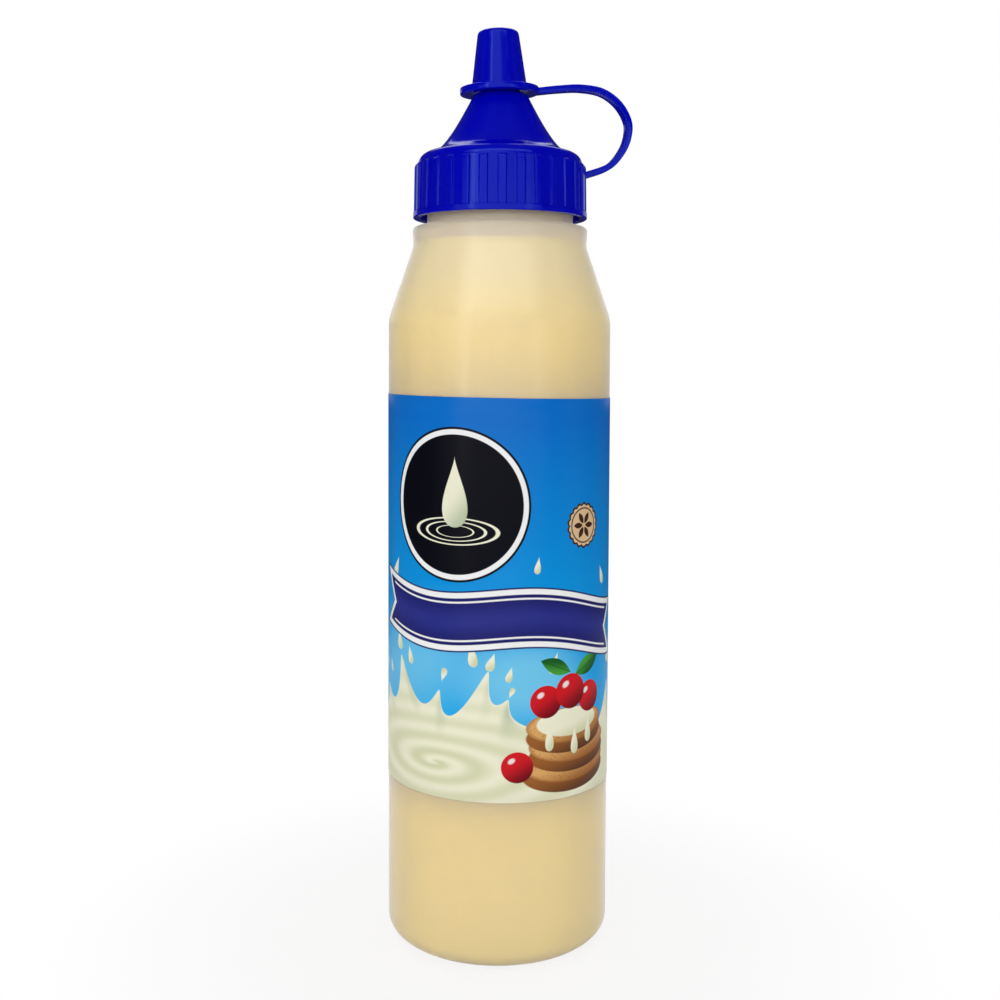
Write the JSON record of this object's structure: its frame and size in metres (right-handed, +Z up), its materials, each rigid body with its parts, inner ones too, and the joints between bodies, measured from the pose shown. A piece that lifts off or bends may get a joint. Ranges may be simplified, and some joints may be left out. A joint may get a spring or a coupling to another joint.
{
  "type": "condensed milk squeeze bottle",
  "caption": "Upright translucent squeeze bottle full of condensed milk, with a wrap label, a ribbed blue screw cap, a cone nozzle and a tethered tip cap.",
  "frame": {"origin": "centre of the base, on the surface that the bottle stands on", "axes": "+Z up along the bottle, -Y out of the label's front, +X towards the tether strap"},
  "size_m": [0.0555, 0.0506, 0.2042],
  "materials": {
    "clear_plastic": "translucent natural polyethylene, satin",
    "condensed_milk": "thick smooth cream",
    "label_film": "printed glossy film",
    "blue_plastic": "moulded royal blue polypropylene, satin gloss"
  },
  "bodies": {
    "root": {"bottle": "clear_plastic", "milk": "condensed_milk", "label": "label_film", "screw_cap": "blue_plastic", "tip_cap": "blue_plastic"}
  },
  "joints": []
}
